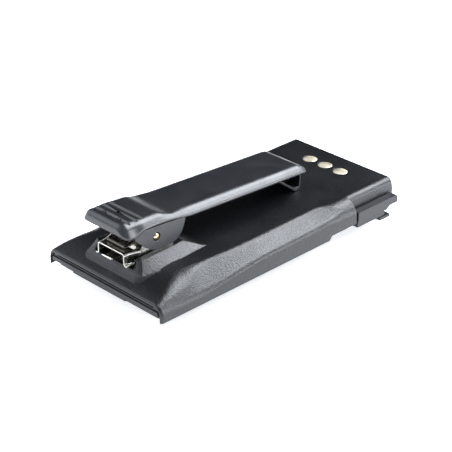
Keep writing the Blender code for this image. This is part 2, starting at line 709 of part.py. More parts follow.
def spring_half(side):
    """Points of one half of the torsion spring, from its free end to the end of the cross bar."""
    steps = 14
    pitch = 2 * WIRE_RADIUS + 0.12
    outer_x = EAR_X - WIRE_RADIUS - 0.35
    top = PIN_Z + COIL_RADIUS
    points = [(side * outer_x, -49.6, top + 0.3), (side * outer_x, -46.0, top + 0.1)]
    last = 360 * COIL_TURNS + 170
    count = round(last / 360 * steps)
    for i in range(count + 1):
        angle = math.radians(last * i / count)
        x = side * (outer_x - pitch * angle / (2 * math.pi))
        points.append((x, PIN_Y + COIL_RADIUS * math.sin(angle), PIN_Z + COIL_RADIUS * math.cos(angle)))
    points += [(side * 3.4, -47.3, 21.8), (side * 4.5, -50.9, 21.25), (side * 4.4, -51.5, 21.15)]
    return points


def make_torsion_spring(materials, parts):
    """Double torsion spring round the pin: two coils joined by a cross bar that rests on the
    bracket, and two free ends that push the thumb pad up."""
    points = spring_half(-1) + list(reversed(spring_half(1)))
    curve = bpy.data.curves.new("clip_torsion_spring", "CURVE")
    curve.dimensions = "3D"
    curve.bevel_depth = WIRE_RADIUS * MM
    curve.bevel_resolution = 2
    curve.use_fill_caps = True
    spline = curve.splines.new("POLY")
    spline.points.add(len(points) - 1)
    for point, place in zip(spline.points, points):
        point.co = (*(Vector(place) * MM), 1.0)
    curve.materials.append(materials["spring"])
    spring = bpy.data.objects.new("clip_torsion_spring", curve)
    parts.objects.link(spring)
    return spring


# ---------------------------------------------------------------- clip arm

def arm_profile(y):
    """Top and bottom height of the clip arm at y."""
    pad_top = 31.15 - (y + 40.3) * 0.07
    arm_top = 29.25 - (y + 34.0) * 0.055
    blend = smooth_step(y, -41.5, -34.5)
    bottom = 25.9 - (y + 24.5) * 0.055
    return pad_top * (1 - blend) + arm_top * blend, bottom


def arm_half_width(y):
    return ARM_HALF_WIDTH + PAD_FLARE * (1 - smooth_step(y, -52.0, -42.0))


def arm_ring(y, bottom, drop=0.0, narrow=0.0):
    """Section of the arm: a flat top and leaning, rounded sides; drop and narrow round off an end."""
    top = arm_profile(y)[0] - drop
    half_width = arm_half_width(y) - narrow
    edge = min(0.9, (top - bottom) * 0.3)
    lean = min(SIDE_LEAN, (top - bottom) * 0.75)
    corners = [(0.0, top), (half_width - lean, top), (half_width, bottom + edge), (half_width, bottom)]
    right = round_corner(*corners[:3], 3.2, 5) + round_corner(*corners[1:], 2.6, 4)
    right.append(Vector((half_width - 0.2, bottom)))
    left = [Vector((-p.x, p.y)) for p in reversed(right)]
    return [(p.x, y, p.y) for p in right + left]


def arm_rings():
    """Sections of the arm from the thumb pad's nose to its far end."""
    rings = []
    for along, drop, rise, narrow in ((0.0, 2.4, 2.2, 1.8), (0.35, 1.3, 1.2, 1.0), (1.0, 0.5, 0.5, 0.35),
                                      (2.2, 0.0, 0.0, 0.0)):
        rings.append(arm_ring(ARM_NOSE_Y + along, 25.9 + rise, drop, narrow))
    for y, bottom in ((-52.4, 26.3), (-49.0, 27.8), (-44.0, 27.8), (-40.5, 27.7), (-38.5, 27.4),
                      (-36.5, 27.1), (-34.5, 26.9), (-31.5, 26.4)):
        rings.append(arm_ring(y, bottom))
    for y in (-28.0, -15.0, 0.0, 12.0, 20.0):
        rings.append(arm_ring(y, arm_profile(y)[1]))
    for y, drop, narrow in ((24.0, 0.35, 0.0), (26.2, 1.3, 0.4), (27.3, 2.4, 1.0), (27.8, 3.2, 1.6)):
        rings.append(arm_ring(y, arm_profile(y)[1] - 0.7, drop, narrow))
    return rings


def cheeks_and_foot(plastic, cutters):
    """Two cheeks that hold the pin, and the foot that slopes down at the far end."""
    cheek = [(-53.0, 28.5), (-52.4, 26.2), (-51.0, 24.6), (-47.3, 21.4), (-45.0, 20.0), (-42.2, 19.45),
             (-37.4, 19.4), (-34.6, 19.9), (-32.2, 22.0), (-30.9, 25.0), (-30.4, 27.0)]
    foot = [(14.0, 24.0), (15.8, 22.2), (23.6, 16.4), (24.4, 15.7), (26.4, 15.7), (27.1, 16.6),
            (27.6, 19.5), (27.2, 23.5)]
    solids = [make_plate("arm_foot", foot, "YZ", -FOOT_HALF_WIDTH, FOOT_HALF_WIDTH, plastic, cutters)]
    for side in (-1, 1):
        low, high = sorted((side * CHEEK_INNER_X, side * (ARM_HALF_WIDTH - CHEEK_STEP)))
        solids.append(make_plate("cheek_%d" % side, cheek, "YZ", low, high, plastic, cutters))
    return solids


def grip_grooves(plastic, cutters):
    """V-shaped grip grooves across the thumb pad: one long, two half and three short."""
    grooves = []
    for row, spans in GRIP_ROWS:
        top = arm_profile(row)[0]
        outline = [(row - GROOVE_WIDTH / 2, top + 0.05), (row, top - GROOVE_DEPTH),
                   (row + GROOVE_WIDTH / 2, top + 0.05), (row, top + 1.0)]
        for low, high in spans:
            name = "groove_%d_%d" % (row * 10, low * 10)
            grooves.append(make_plate(name, outline, "YZ", low, high, plastic, cutters))
    return grooves


def make_clip_arm(materials, parts, cutters):
    plastic = materials["clip"]
    arm = make_loft("clip_arm", arm_rings(), plastic, parts)
    combine(arm, cheeks_and_foot(plastic, cutters), "UNION", cutters)
    bore = make_rod("cheek_bore", (0, PIN_Y, PIN_Z), PIN_RADIUS + GAP, 30.0, "X", plastic, cutters, 24)
    combine(arm, [bore] + grip_grooves(plastic, cutters), "DIFFERENCE", cutters)
    shade_round(arm)
    set_origin(arm, (0, PIN_Y, PIN_Z))
    return arm


def main():
    clear_scene()
    parts = make_collection("radio_battery_pack")
    cutters = make_collection("cutters")
    materials = make_materials()
    make_outer_housing(materials, parts, cutters)
    make_inner_cover(materials, parts, cutters)
    make_cells(materials, parts)
    make_strips(materials, parts)
    make_board(materials, parts)
    make_contacts(materials, parts)
    make_label(materials, parts)
    make_bracket(materials, parts, cutters)
    make_latch_leaf(materials, parts, cutters)
    make_pin(materials, parts)
    make_torsion_spring(materials, parts)
    make_clip_arm(materials, parts, cutters)


main()
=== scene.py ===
"""Looks of a two-way radio's battery pack with its sprung belt clip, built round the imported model.

Lengths in this script are in millimetres in the model's frame, and MM turns them into metres.
"""
import math

import bmesh
import bpy
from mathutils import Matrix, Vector


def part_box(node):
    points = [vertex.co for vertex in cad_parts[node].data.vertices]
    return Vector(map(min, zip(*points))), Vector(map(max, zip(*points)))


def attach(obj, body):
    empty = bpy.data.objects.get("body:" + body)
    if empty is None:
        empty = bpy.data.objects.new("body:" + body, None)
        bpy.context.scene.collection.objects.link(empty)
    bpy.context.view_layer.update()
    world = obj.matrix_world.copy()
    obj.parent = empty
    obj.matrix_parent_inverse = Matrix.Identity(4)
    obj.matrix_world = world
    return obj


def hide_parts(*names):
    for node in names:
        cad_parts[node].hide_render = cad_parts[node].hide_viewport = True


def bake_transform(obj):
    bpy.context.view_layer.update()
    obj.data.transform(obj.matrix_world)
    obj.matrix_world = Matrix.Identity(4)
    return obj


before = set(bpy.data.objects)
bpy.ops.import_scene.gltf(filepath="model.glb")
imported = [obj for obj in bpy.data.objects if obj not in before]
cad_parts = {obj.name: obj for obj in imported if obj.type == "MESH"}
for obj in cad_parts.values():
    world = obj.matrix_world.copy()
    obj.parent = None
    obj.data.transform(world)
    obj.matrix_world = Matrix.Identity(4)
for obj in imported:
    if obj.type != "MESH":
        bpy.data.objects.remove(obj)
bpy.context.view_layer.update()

MM = 0.001


def node_box(name):
    """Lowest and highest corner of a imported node, in millimetres."""
    low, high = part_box(name)
    return low / MM, high / MM


# ---------------------------------------------------------------- sizes read from the frame

SHELL_LOW, SHELL_HIGH = node_box("outer_housing")
ARM_LOW, ARM_HIGH = node_box("clip_arm")
BRACKET_LOW, BRACKET_HIGH = node_box("clip_bracket")
LEAF_LOW = node_box("clip_latch_leaf")[0]
PIN_LOW, PIN_HIGH = node_box("clip_hinge_pin")
CONTACT_HIGH = node_box("charge_contact_middle")[1]

NEAR_Y, FAR_Y = SHELL_LOW.y, SHELL_HIGH.y
HALF_WIDTH = SHELL_HIGH.x
SKIRT_Z = SHELL_LOW.z
BOSS_TOP_Z = SHELL_HIGH.z
DECK_Z = CONTACT_HIGH.z + 0.15          # the contacts lie 0.15 mm below the outer face
PIN_Y = (PIN_LOW.y + PIN_HIGH.y) / 2
PIN_Z = (PIN_LOW.z + PIN_HIGH.z) / 2
PIN_RADIUS = (PIN_HIGH.z - PIN_LOW.z) / 2
PAD_FLARE = 0.4                          # the thumb pad is this much wider on each side
ARM_HALF_WIDTH = ARM_HIGH.x - PAD_FLARE

# ---------------------------------------------------------------- shape of the shell

WALL = 1.6
GAP = 0.3
SWOOP_Y = -39.8
NEAR_TOP_Z = 11.1
CORNER_RADIUS = 1.2
LEDGE_Y = 34.5
LEDGE_HALF_WIDTH = 24.7
STEP_Y = 21.3
STEP_RISE = 1.6
SLOT_END_Y = -33.5
SLOT_HALF_WIDTH = 9.6
SLOT_LIP_HALF_WIDTH = 8.5
SLOT_LIP_Z = 17.0


# ---------------------------------------------------------------- mesh helpers

def link_mesh(name, bm):
    bmesh.ops.recalc_face_normals(bm, faces=bm.faces)
    mesh = bpy.data.meshes.new(name)
    bm.to_mesh(mesh)
    bm.free()
    obj = bpy.data.objects.new(name, mesh)
    bpy.context.scene.collection.objects.link(obj)
    return obj


def block(name, low, high):
    """A box between two corners; always cut, joined or rounded further."""
    bm = bmesh.new()
    bmesh.ops.create_cube(bm, size=1.0)
    for vert in bm.verts:
        for axis in range(3):
            middle = (low[axis] + high[axis]) / 2
            vert.co[axis] = (middle + vert.co[axis] * (high[axis] - low[axis])) * MM
    return link_mesh(name, bm)


def rod(name, centre, radius, length, axis, segments=64):
    bm = bmesh.new()
    bmesh.ops.create_cone(bm, cap_ends=True, segments=segments, radius1=radius * MM,
                          radius2=radius * MM, depth=length * MM)
    direction = {"X": Vector((1, 0, 0)), "Y": Vector((0, 1, 0)), "Z": Vector((0, 0, 1))}[axis]
    turn = Vector((0, 0, 1)).rotation_difference(direction).to_matrix()
    for vert in bm.verts:
        vert.co = turn @ vert.co + Vector(centre) * MM
    return link_mesh(name, bm)


def loft(name, rings):
    """A closed solid through rings of points that all have the same count."""
    bm = bmesh.new()
    loops = [[bm.verts.new(Vector(point) * MM) for point in ring] for ring in rings]
    count = len(loops[0])
    for first, second in zip(loops, loops[1:]):
        for i in range(count):
            j = (i + 1) % count
            bm.faces.new((first[i], first[j], second[j], second[i]))
    bm.faces.new(reversed(loops[0]))
    bm.faces.new(loops[-1])
    return link_mesh(name, bm)


def prism(name, outline, plane, start, end):
    """A flat outline in the XY, XZ or YZ plane, extruded from start to end across it."""
    place = {"XY": lambda u, v, w: (u, v, w), "XZ": lambda u, v, w: (u, w, v),
             "YZ": lambda u, v, w: (w, u, v)}[plane]
    bm = bmesh.new()
    near = [bm.verts.new(Vector(place(u, v, start)) * MM) for u, v in outline]
    far = [bm.verts.new(Vector(place(u, v, end)) * MM) for u, v in outline]
    bm.faces.new(near)
    bm.faces.new(reversed(far))
    for i in range(len(outline)):
        j = (i + 1) % len(outline)
        bm.faces.new((near[j], near[i], far[i], far[j]))
    return link_mesh(name, bm)


def turned(name, profile, centre, axis, segments=64):
    """A turned solid from (radius, height) points, both ends on the axis."""
    bm = bmesh.new()
    verts = [bm.verts.new((r * MM, 0, h * MM)) for r, h in profile]
    edges = [bm.edges.new(pair) for pair in zip(verts, verts[1:])]
    bmesh.ops.spin(bm, geom=verts + edges, cent=(0, 0, 0), axis=(0, 0, 1),
                   angle=2 * math.pi, steps=segments, use_merge=True)
    bmesh.ops.remove_doubles(bm, verts=bm.verts, dist=1e-6)
    turn = Vector((0, 0, 1)).rotation_difference(Vector(axis)).to_matrix()
    for vert in bm.verts:
        vert.co = turn @ vert.co + Vector(centre) * MM
    return link_mesh(name, bm)


def apply_modifiers(obj):
    bpy.context.view_layer.update()
    evaluated = obj.evaluated_get(bpy.context.evaluated_depsgraph_get())
    old = obj.data
    obj.data = bpy.data.meshes.new_from_object(evaluated)
    obj.modifiers.clear()
    bpy.data.meshes.remove(old)


def combine(obj, others, operation):
    """Boolean with each of the others, which are used up."""
    for other in others:
        modifier = obj.modifiers.new("bool", "BOOLEAN")
        modifier.operation = operation
        modifier.solver = "EXACT"
        modifier.object = other
        apply_modifiers(obj)
        bpy.data.objects.remove(other, do_unlink=True)
    return obj


def weld(obj, distance):
    bm = bmesh.new()
    bm.from_mesh(obj.data)
    bmesh.ops.remove_doubles(bm, verts=bm.verts, dist=distance * MM)
    bmesh.ops.dissolve_degenerate(bm, edges=bm.edges, dist=distance * MM * 0.5)
    bm.to_mesh(obj.data)
    bm.free()


def round_edges(obj, width, segments=3, angle=30.0, clamp=True):
    modifier = obj.modifiers.new("rounded_edges", "BEVEL")
    modifier.width = width * MM
    modifier.segments = segments
    modifier.limit_method = "ANGLE"
    modifier.angle_limit = math.radians(angle)
    modifier.use_clamp_overlap = clamp
    modifier.miter_outer = "MITER_ARC"
    apply_modifiers(obj)
    return obj


def shade(obj, angle=40.0):
    """Smooth shading that keeps flat faces flat beside their rounded edges."""
    obj.data.shade_smooth()
    obj.data.set_sharp_from_angle(angle=math.radians(angle))
    modifier = obj.modifiers.new("face_normals", "WEIGHTED_NORMAL")
    modifier.keep_sharp = True
    modifier.weight = 60
    apply_modifiers(obj)
    return obj


def finish_piece(obj, body, nodes, material):
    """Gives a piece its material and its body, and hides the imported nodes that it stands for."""
    obj.data.materials.clear()
    obj.data.materials.append(material)
    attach(obj, body)
    if nodes:
        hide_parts(*nodes)
    return obj


def arc(centre, radius, start, end, count):
    points = []
    for i in range(count):
        angle = math.radians(start + (end - start) * i / (count - 1))
        points.append((centre[0] + radius * math.cos(angle), centre[1] + radius * math.sin(angle)))
    return points


def round_corner(before, corner, after, radius, steps):
    """Points of the arc that rounds one corner of a polyline."""
    here = Vector(corner)
    back = Vector(before) - here
    ahead = Vector(after) - here
    half = back.angle(ahead) / 2
    reach = min(radius / math.tan(half), back.length * 0.49, ahead.length * 0.49)
    radius = reach * math.tan(half)
    centre = here + (back.normalized() + ahead.normalized()).normalized() * (radius / math.sin(half))
    first = here + back.normalized() * reach - centre
    last = here + ahead.normalized() * reach - centre
    turn = first.angle_signed(last)
    points = []
    for i in range(steps):
        angle = -turn * i / (steps - 1)
        points.append(centre + Vector((first.x * math.cos(angle) - first.y * math.sin(angle),
                                       first.x * math.sin(angle) + first.y * math.cos(angle))))
    return points


def smooth_step(value, low, high):
    share = min(max((value - low) / (high - low), 0.0), 1.0)
    return share * share * (3 - 2 * share)


def mirrored(points):
    """A right half of an outline, and the same points again on the left."""
    return points + [(-x, y) for x, y in reversed(points)]


# ---------------------------------------------------------------- materials

class Nodes:
    """Short way to write a material's node tree."""

    def __init__(self, name):
        self.material = bpy.data.materials.new(name)
        self.material.use_nodes = True
        self.tree = self.material.node_tree
        self.shader = self.tree.nodes["Principled BSDF"]

    def add(self, kind, settings=None, **inputs):
        node = self.tree.nodes.new("ShaderNode" + kind)
        for key, value in (settings or {}).items():
            setattr(node, key, value)
        for key, value in inputs.items():
            self.put(node, key.replace("_", " "), value)
        return node

    def put(self, node, key, value):
        if isinstance(value, bpy.types.NodeSocket):
            self.tree.links.new(value, node.inputs[key])
        else:
            node.inputs[key].default_value = value

    def point(self):
        return self.add("TexCoord").outputs["Object"]

    def noise(self, size, detail=3.0, point=None, roughness=0.5):
        """Noise with features of about this size in millimetres."""
        node = self.add("TexNoise", Vector=point or self.point(), Scale=1.0 / (size * MM),
                        Detail=detail, Roughness=roughness)
        return node.outputs["Fac"]

    def stretched(self, scale):
        return self.add("Mapping", Vector=self.point(), Scale=scale).outputs["Vector"]

    def span(self, value, low, high, new_low, new_high):
        """Maps a value from one range to another, clamped."""
        node = self.add("MapRange", Value=value)
        for key, number in (("From Min", low), ("From Max", high),
                            ("To Min", new_low), ("To Max", new_high)):
            node.inputs[key].default_value = number
        return node.outputs["Result"]

    def blend(self, share, first, second, mode="MIX"):
        node = self.add("Mix", {"data_type": "RGBA", "blend_type": mode})
        self.put(node, 0, share)
        self.put(node, 6, first if isinstance(first, bpy.types.NodeSocket) else (*first, 1.0))
        self.put(node, 7, second if isinstance(second, bpy.types.NodeSocket) else (*second, 1.0))
        return node.outputs[2]

    def sum(self, first, second, share=1.0):
        node = self.add("Math", {"operation": "MULTIPLY_ADD"})
        self.put(node, 0, second)
        node.inputs[1].default_value = share
        self.put(node, 2, first)
        return node.outputs[0]

    def bump(self, height, depth, strength=1.0):
        node = self.add("Bump", Height=height, Distance=depth * MM, Strength=strength)
        self.put(self.shader, "Normal", node.outputs["Normal"])

    def edges(self, low=0.505, high=0.56):
        """How strongly a spot lies on an outer edge."""
        pointiness = self.add("NewGeometry").outputs["Pointiness"]
        return self.span(pointiness, low, high, 0.0, 1.0)


def moulded_plastic(name, colour, roughness, grain, depth, wear, gloss=0.5):
    """Black plastic with a spark-eroded grain, slightly polished and paler along its edges."""
    nodes = Nodes(name)
    nodes.shader.inputs["Specular IOR Level"].default_value = gloss
    fine = nodes.noise(grain, 2.0)
    pits = nodes.noise(grain * 2.3, 1.0)
    cloud = nodes.noise(9.0, 3.0)
    dust = nodes.noise(0.9, 4.0)
    lighter = tuple(c * 1.5 + 0.002 for c in colour)
    darker = tuple(c * 0.8 for c in colour)
    base = nodes.blend(nodes.span(cloud, 0.35, 0.65, 0.0, 1.0), darker, colour)
    base = nodes.blend(nodes.span(fine, 0.5, 0.75, 0.0, 0.6), base, lighter)
    worn = tuple(c * 3.0 + 0.01 for c in colour)
    rub = nodes.add("Math", {"operation": "MULTIPLY"})
    nodes.put(rub, 0, nodes.edges())
    nodes.put(rub, 1, nodes.span(dust, 0.4, 0.7, 0.1, wear))
    base = nodes.blend(rub.outputs[0], base, worn)
    nodes.put(nodes.shader, "Base Color", base)
    rough = nodes.span(cloud, 0.3, 0.7, roughness - 0.04, roughness + 0.04)
    rough = nodes.sum(rough, nodes.span(dust, 0.3, 0.7, -0.5, 0.5), 0.05)
    rough = nodes.sum(rough, rub.outputs[0], -0.12)
    nodes.put(nodes.shader, "Roughness", rough)
    nodes.bump(nodes.sum(fine, pits, 0.8), depth)
    return nodes.material


def plated_metal(name, colour, roughness, streak=(1.0, 30.0, 1.0), depth=0.004, stain=None):
    """Metal with fine drawing marks along one direction and faint stains."""
    nodes = Nodes(name)
    nodes.shader.inputs["Metallic"].default_value = 1.0
    marks = nodes.noise(1.6, 4.0, nodes.stretched(streak), 0.6)
    cloud = nodes.noise(1.8, 3.0)
    stained = stain or tuple(c * 0.78 for c in colour)
    base = nodes.blend(nodes.span(cloud, 0.45, 0.8, 0.0, 0.8), colour, stained)
    base = nodes.blend(nodes.span(marks, 0.55, 0.8, 0.0, 0.35), base, tuple(c * 0.6 for c in colour))
    nodes.put(nodes.shader, "Base Color", base)
    rough = nodes.span(cloud, 0.3, 0.7, roughness * 0.8, roughness * 1.3)
    nodes.put(nodes.shader, "Roughness", nodes.sum(rough, nodes.span(marks, 0.4, 0.7, 0.0, 1.0), 0.06))
    nodes.bump(marks, depth)
    return nodes.material


def simple_surface(name, colour, roughness, size, depth, contrast=0.25):
    """Matt surface such as foam, label film, a chip's package or a lead's insulation."""
    nodes = Nodes(name)
    grain = nodes.noise(size, 4.0)
    cloud = nodes.noise(size * 12, 2.0)
    dark = tuple(c * (1 - contrast) for c in colour)
    light = tuple(min(c * (1 + contrast), 1.0) for c in colour)
    base = nodes.blend(nodes.span(grain, 0.3, 0.7, 0.0, 1.0), dark, light)
    base = nodes.blend(nodes.span(cloud, 0.4, 0.7, 0.0, 0.5), base, colour)
    nodes.put(nodes.shader, "Base Color", base)
    nodes.put(nodes.shader, "Roughness", nodes.span(grain, 0.3, 0.7, roughness - 0.06, roughness + 0.06))
    nodes.bump(grain, depth)
    return nodes.material


def circuit_board_surface(name):
    """Green solder resist with paler tracks under it."""
    nodes = Nodes(name)
    brick = nodes.add("TexBrick", Vector=nodes.point(), Scale=260.0)
    brick.inputs["Color1"].default_value = (0.01, 0.10, 0.04, 1)
    brick.inputs["Color2"].default_value = (0.012, 0.13, 0.05, 1)
    brick.inputs["Mortar"].default_value = (0.03, 0.22, 0.09, 1)
    speck = nodes.noise(0.5, 3.0)
    base = nodes.blend(nodes.span(speck, 0.4, 0.7, 0.0, 0.4), brick.outputs["Color"], (0.015, 0.09, 0.04))
    nodes.put(nodes.shader, "Base Color", base)
    nodes.put(nodes.shader, "Roughness", nodes.span(speck, 0.3, 0.7, 0.3, 0.45))
    nodes.bump(brick.outputs["Fac"], 0.02)
    return nodes.material


def make_materials():
    return {
        "housing": moulded_plastic("housing_grain", (0.0036, 0.0039, 0.0050), 0.34, 0.34, 0.105, 0.4),
        "cover": moulded_plastic("cover_grain", (0.0070, 0.0074, 0.0088), 0.40, 0.3, 0.03, 0.4),
        "clip": moulded_plastic("clip_grain", (0.0135, 0.0146, 0.0172), 0.33, 0.22, 0.024, 0.35, 0.65),
        "nickel": plated_metal("bright_nickel", (0.58, 0.565, 0.52), 0.2),
        "spring": plated_metal("spring_wire", (0.10, 0.098, 0.095), 0.3, (30.0, 1.0, 1.0)),
        "winding": plated_metal("spring_winding", (0.34, 0.31, 0.27), 0.32, (30.0, 1.0, 1.0)),
        "leaf": plated_metal("spring_leaf", (0.72, 0.71, 0.67), 0.20),
        "pin": plated_metal("pin_steel", (0.60, 0.50, 0.34), 0.14, (1.0, 1.0, 1.0), 0.006,
                            (0.42, 0.30, 0.15)),
        "gold": plated_metal("contact_gold", (0.84, 0.76, 0.60), 0.45, (6.0, 1.0, 1.0), 0.010),
        "strip": plated_metal("nickel_strip", (0.56, 0.55, 0.52), 0.32),
        "cell": plated_metal("cell_can", (0.58, 0.59, 0.60), 0.36, (1.0, 20.0, 1.0)),
        "foam": simple_surface("foam_cells", (0.05, 0.05, 0.055), 0.92, 0.35, 0.15, 0.4),
        "board": circuit_board_surface("solder_resist"),
        "chip": simple_surface("chip_package", (0.014, 0.014, 0.015), 0.55, 0.08, 0.01),
        "label": simple_surface("label_film", (0.62, 0.62, 0.59), 0.55, 0.4, 0.01, 0.05),
        "black_lead": simple_surface("black_lead", (0.02, 0.02, 0.02), 0.45, 0.3, 0.01),
        "red_lead": simple_surface("red_lead", (0.42, 0.02, 0.02), 0.45, 0.3, 0.01),
    }


# ---------------------------------------------------------------- outer housing

# Along the full-width part: y, x where the flank starts, height where it ends, its rounding.
FLANK_STATIONS = (
    (NEAR_Y, 26.2, 8.8, 12.0),
    (-52.5, 25.2, 8.5, 12.0),
    (-46.5, 23.5, 8.3, 12.0),
    (-43.0, 22.3, 8.5, 10.0),
    (-38.0, 21.2, 8.8, 5.0),
    (-33.0, 20.9, 9.1, 3.0),
    (-22.0, 21.5, 10.4, 2.8),
    (-12.0, 21.6, 11.5, 2.6),
    (0.0, 21.4, 11.8, 2.6),
    (15.0, 21.2, 12.2, 2.6),
    (22.0, 21.4, 12.6, 2.6),
    (27.0, 24.2, 12.0, 5.0),
    (LEDGE_Y, 24.4, 11.8, 5.0),
)


def follow(stations, y):
    """Values at y on smooth curves through the stations."""
    last = len(stations) - 1
    y = min(max(y, stations[0][0]), stations[last][0])
    i = max(k for k in range(last) if stations[k][0] <= y)
    here, there = stations[i], stations[i + 1]
    before, after = stations[max(i - 1, 0)], stations[min(i + 2, last)]
    run = there[0] - here[0]
    t = (y - here[0]) / run
    values = []
    for k in range(1, len(here)):
        slope = (there[k] - before[k]) / (there[0] - before[0]) * run
        slope_after = (after[k] - here[k]) / (after[0] - here[0]) * run
        values.append((2 * t ** 3 - 3 * t ** 2 + 1) * here[k] + (t ** 3 - 2 * t ** 2 + t) * slope
                      + (3 * t ** 2 - 2 * t ** 3) * there[k] + (t ** 3 - t ** 2) * slope_after)
    return values


def quarter(distance, radius):
    """How far a rounded end has fallen away at a distance from it."""
    if distance >= radius:
        return 0.0
    return radius - math.sqrt(radius ** 2 - (radius - max(distance, 0.0)) ** 2)


def deck_height(y):
    share = max(SWOOP_Y - y, 0.0) / (SWOOP_Y - NEAR_Y)
    return DECK_Z - (DECK_Z - NEAR_TOP_Z) * share ** 1.7


def half_section(y, inset, half_width, flank, crease, lower, radius, drop):
    """Cross-section from the left lower edge over the face to the right lower edge."""
    top = deck_height(y) - inset - drop
    side = half_width - inset
    flank = min(flank - inset * 0.6, side - 0.5)
    corners = [(0.0, top), (flank, top), (side, crease - inset * 0.6), (side, lower)]
    upper = round_corner(corners[0], corners[1], corners[2], radius, 10)
    under = round_corner(corners[1], corners[2], corners[3], radius, 10)
    right = [Vector(corners[0])] + upper + under + [Vector(corners[3])]
    left = [Vector((-p.x, p.y)) for p in reversed(right[1:])]
    return [(p.x, y, p.y) for p in left + right]


def wide_ring(y, inset):
    """Section of the full-width part of the housing at y."""
    flank, crease, radius = follow(FLANK_STATIONS, y - inset)
    lower = SKIRT_Z + STEP_RISE * smooth_step(y, STEP_Y - 0.8, STEP_Y + 0.8)
    from_end = y - inset - NEAR_Y
    side = HALF_WIDTH - quarter(from_end, CORNER_RADIUS)
    drop = quarter(from_end, 0.5)
    if inset:
        lower -= 4.0
    return half_section(y, inset, side, flank - drop, crease, lower, radius, drop)


def narrow_ring(y, inset, ease):
    """Section of the narrower far part; ease rounds off its far end."""
    lower = SKIRT_Z + STEP_RISE - (4.0 if inset else 0.0)
    return half_section(y, inset, LEDGE_HALF_WIDTH - ease, 24.0 - ease, 11.4 - ease, lower, 2.3, ease)


def housing_rings(inset):
    start = NEAR_Y + inset
    stations = [start + CORNER_RADIUS * (1 - math.cos(math.radians(a))) for a in range(0, 91, 10)]
    y = stations[-1]
    while y < SWOOP_Y:
        y += 1.5
        stations.append(y)
    while y < STEP_Y - 4.0:
        y += 3.0
        stations.append(y)
    stations += [STEP_Y - 0.8 + 0.2 * i for i in range(9)]
    stations += [STEP_Y + 1.2 + 0.5 * i for i in range(12)] + [30.0, LEDGE_Y - inset]
    rings = [wide_ring(y, inset) for y in stations]
    rings.append(narrow_ring(LEDGE_Y - inset + 0.1, inset, 0.0))
    end_radius = 0.6
    for angle in range(0, 91, 15):
        ease = end_radius * (1 - math.cos(math.radians(angle)))
        y = FAR_Y - inset - end_radius * (1 - math.sin(math.radians(angle)))
        rings.append(narrow_ring(y, inset, ease))
    return rings


# Raised boss from below upwards: height and the right half of its outline.
BOSS_LEVELS = (
    (10.0, ((12.6, -56.0), (14.6, -54.6), (17.4, -45.8), (17.4, -36.8), (15.8, -22.4))),
    (15.3, ((10.7, -53.8), (13.3, -52.9), (15.1, -45.8), (15.0, -36.8), (14.2, -23.8))),
    (15.45, ((10.6, -53.6), (13.2, -52.7), (14.7, -45.8), (14.6, -36.8), (13.8, -24.6))),
    (15.65, ((10.5, -53.4), (13.0, -52.4), (14.3, -45.8), (14.2, -36.8), (13.4, -25.4))),
    (15.95, ((10.4, -53.1), (12.8, -52.1), (13.9, -45.8), (13.8, -36.8), (13.0, -26.4))),
    (BOSS_TOP_Z, ((9.3, -51.4), (10.9, -50.4), (10.7, -45.8), (10.3, -38.0), (9.8, -31.4))),
)


def boss_height(y, level):
    """Height of a boss level at y: its flared foot sinks part of the way with the face."""
    if level < 12.0 or level > 17.0:
        return level
    return level + (deck_height(y) - DECK_Z) * (0.45 + 0.55 * smooth_step(y, -53.0, -45.0))


def boss_block():
    """Raised pad that receives the clip, with leaning faces all round and a flared foot."""
    rings = []
    for level, right in BOSS_LEVELS:
        rings.append([(x, y, boss_height(y, level)) for x, y in mirrored(list(right))])
    return round_edges(loft("boss_block", rings), 0.45, 4, 25.0)


def slot_cutters():
    """T-slot for the bracket, the ramp in front of it and the pocket under its catch."""
    wide = block("slot_floor_cut", (-SLOT_HALF_WIDTH, -52.0, DECK_Z),
                 (SLOT_HALF_WIDTH, SLOT_END_Y, SLOT_LIP_Z))
    narrow = block("slot_top_cut", (-SLOT_LIP_HALF_WIDTH, -52.5, DECK_Z + 0.5),
                   (SLOT_LIP_HALF_WIDTH, SLOT_END_Y, 25))
    ramp = [(-51.6, 25.0), (-51.6, DECK_Z), (-53.9, DECK_Z - 0.01), (-55.9, 12.3),
            (-58.5, 11.9), (-58.5, 25.0)]
    mouth = prism("ramp_cut", ramp, "YZ", -9.35, 9.35)
    pocket = block("catch_pocket_cut", (-3.2, -46.6, DECK_Z - 0.9), (3.2, -43.8, DECK_Z + 0.5))
    return [wide, narrow, mouth, pocket]


def mouth_outline(shrink):
    right = [(23.6, 10.15 - shrink)] + arc((24.6 - shrink, 7.6), 2.5, 75, 5, 6) + [(27.1 - shrink, 3.0)]
    return mirrored(right)


def make_housing(materials):
    shell = loft("housing_shell", housing_rings(0.0))
    combine(shell, [boss_block()], "UNION")
    hollow = loft("housing_hollow", housing_rings(WALL))
    mouth = prism("mouth_cut", mouth_outline(0.0), "XZ", -62.0, NEAR_Y + 2.9)
    holes = []
    for name in ("left", "middle", "right"):
        low, high = node_box("charge_contact_" + name)
        centre = ((low.x + high.x) / 2, (low.y + high.y) / 2, DECK_Z)
        holes.append(rod("contact_hole", centre, (high.x - low.x) / 2 + GAP * 0.5, 8.0, "Z"))
    combine(shell, [hollow, mouth] + slot_cutters() + holes, "DIFFERENCE")
    weld(shell, 0.05)
    round_edges(shell, 0.12, 2, 34.0, clamp=False)
    shade(shell)
    return finish_piece(shell, "pack", ["outer_housing"], materials["housing"])


# ---------------------------------------------------------------- inner cover

